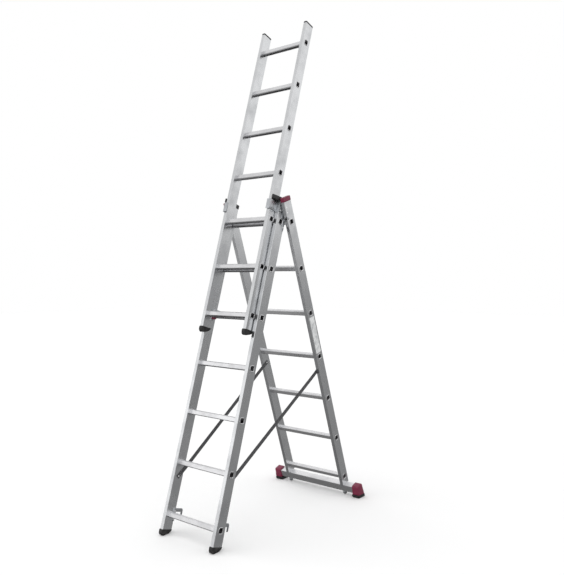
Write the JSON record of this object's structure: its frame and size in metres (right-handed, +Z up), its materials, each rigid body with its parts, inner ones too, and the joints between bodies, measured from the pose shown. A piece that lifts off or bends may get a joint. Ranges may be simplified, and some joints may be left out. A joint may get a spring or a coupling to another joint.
{
  "type": "extension ladder",
  "caption": "Aluminium combination ladder standing as an A-frame, with a sliding extension section, hinged rear section, stabiliser bar and spreader straps.",
  "frame": {"origin": "middle of the footprint, on the floor", "axes": "+Z up, front climbing side faces -Y, rungs run along X"},
  "size_m": [0.672, 1.2464, 2.9289],
  "materials": {
    "aluminium": "mill-finish extruded aluminium, fine lengthwise drawing lines",
    "zinc_steel": "zinc-plated pressed steel",
    "rubber": "matt black rubber",
    "black_plastic": "moulded black plastic, fine grain",
    "red_plastic": "moulded dark red plastic, fine grain",
    "webbing": "dark grey woven webbing"
  },
  "bodies": {
    "front_section": {"front_stile_right": "aluminium", "front_stile_left": "aluminium", "front_foot_right": "rubber", "front_foot_left": "rubber", "front_head_cap_right": "black_plastic", "front_head_cap_left": "black_plastic", "front_hinge_plate_right": "zinc_steel", "front_hinge_plate_left": "zinc_steel", "front_hook_right": "zinc_steel", "front_hook_left": "zinc_steel", "stile_guide_right": "zinc_steel", "stile_guide_left": "zinc_steel", "front_rung_1": "aluminium", "front_rung_2": "aluminium", "front_rung_3": "aluminium", "front_rung_4": "aluminium", "front_rung_5": "aluminium", "front_rung_6": "aluminium", "front_rung_7": "aluminium", "spreader_strap_right": "webbing", "spreader_strap_left": "webbing"},
    "rear_section": {"rear_stile_right": "aluminium", "rear_stile_left": "aluminium", "rear_hinge_plate_right": "zinc_steel", "rear_hinge_plate_left": "zinc_steel", "head_pin_right": "zinc_steel", "head_pin_left": "zinc_steel", "rear_head_cap_right": "red_plastic", "rear_head_cap_left": "red_plastic", "crossbar_end_cap_right": "red_plastic", "crossbar_end_cap_left": "red_plastic", "crossbar_sole_right": "rubber", "crossbar_sole_left": "rubber", "crossbar_bolt_right": "zinc_steel", "crossbar_bolt_left": "zinc_steel", "rear_rung_1": "aluminium", "rear_rung_2": "aluminium", "rear_rung_3": "aluminium", "rear_rung_4": "aluminium", "rear_rung_5": "aluminium", "rear_rung_6": "aluminium", "rear_rung_7": "aluminium", "crossbar": "aluminium"},
    "extension_section": {"extension_stile_right": "aluminium", "extension_stile_left": "aluminium", "extension_foot_right": "rubber", "extension_foot_left": "rubber", "extension_top_cap_right": "black_plastic", "extension_top_cap_left": "black_plastic", "extension_hook_right": "zinc_steel", "extension_hook_left": "zinc_steel", "extension_rung_1": "aluminium", "extension_rung_2": "aluminium", "extension_rung_3": "aluminium", "extension_rung_4": "aluminium", "extension_rung_5": "aluminium", "extension_rung_6": "aluminium", "extension_rung_7": "aluminium"},
    "latch_right": {"safety_latch_right": "red_plastic"},
    "latch_left": {"safety_latch_left": "red_plastic"}
  },
  "joints": [
    {"name": "rear_fold", "type": "hinge", "parent": "front_section", "child": "rear_section", "pos_m": [0, -0.03885, 1.73031], "axis": [1, 0, 0], "range_deg": [-34.2, 0], "deforming": ["spreader_strap_right", "spreader_strap_left"]},
    {"name": "extension_slide", "type": "slide", "parent": "front_section", "child": "extension_section", "axis": [0, 0.2907, 0.9568], "range_m": [-1.12, 0]},
    {"name": "latch_right_pivot", "type": "hinge", "parent": "extension_section", "child": "latch_right", "pos_m": [0, -0.26373, 1.16214], "axis": [1, 0, 0], "range_deg": [-75, 0], "stiffness_Nm_per_rad": 0.05, "springref_deg": 17.19},
    {"name": "latch_left_pivot", "type": "hinge", "parent": "extension_section", "child": "latch_left", "pos_m": [0, -0.26373, 1.16214], "axis": [1, 0, 0], "range_deg": [-75, 0], "stiffness_Nm_per_rad": 0.05, "springref_deg": 17.19}
  ]
}
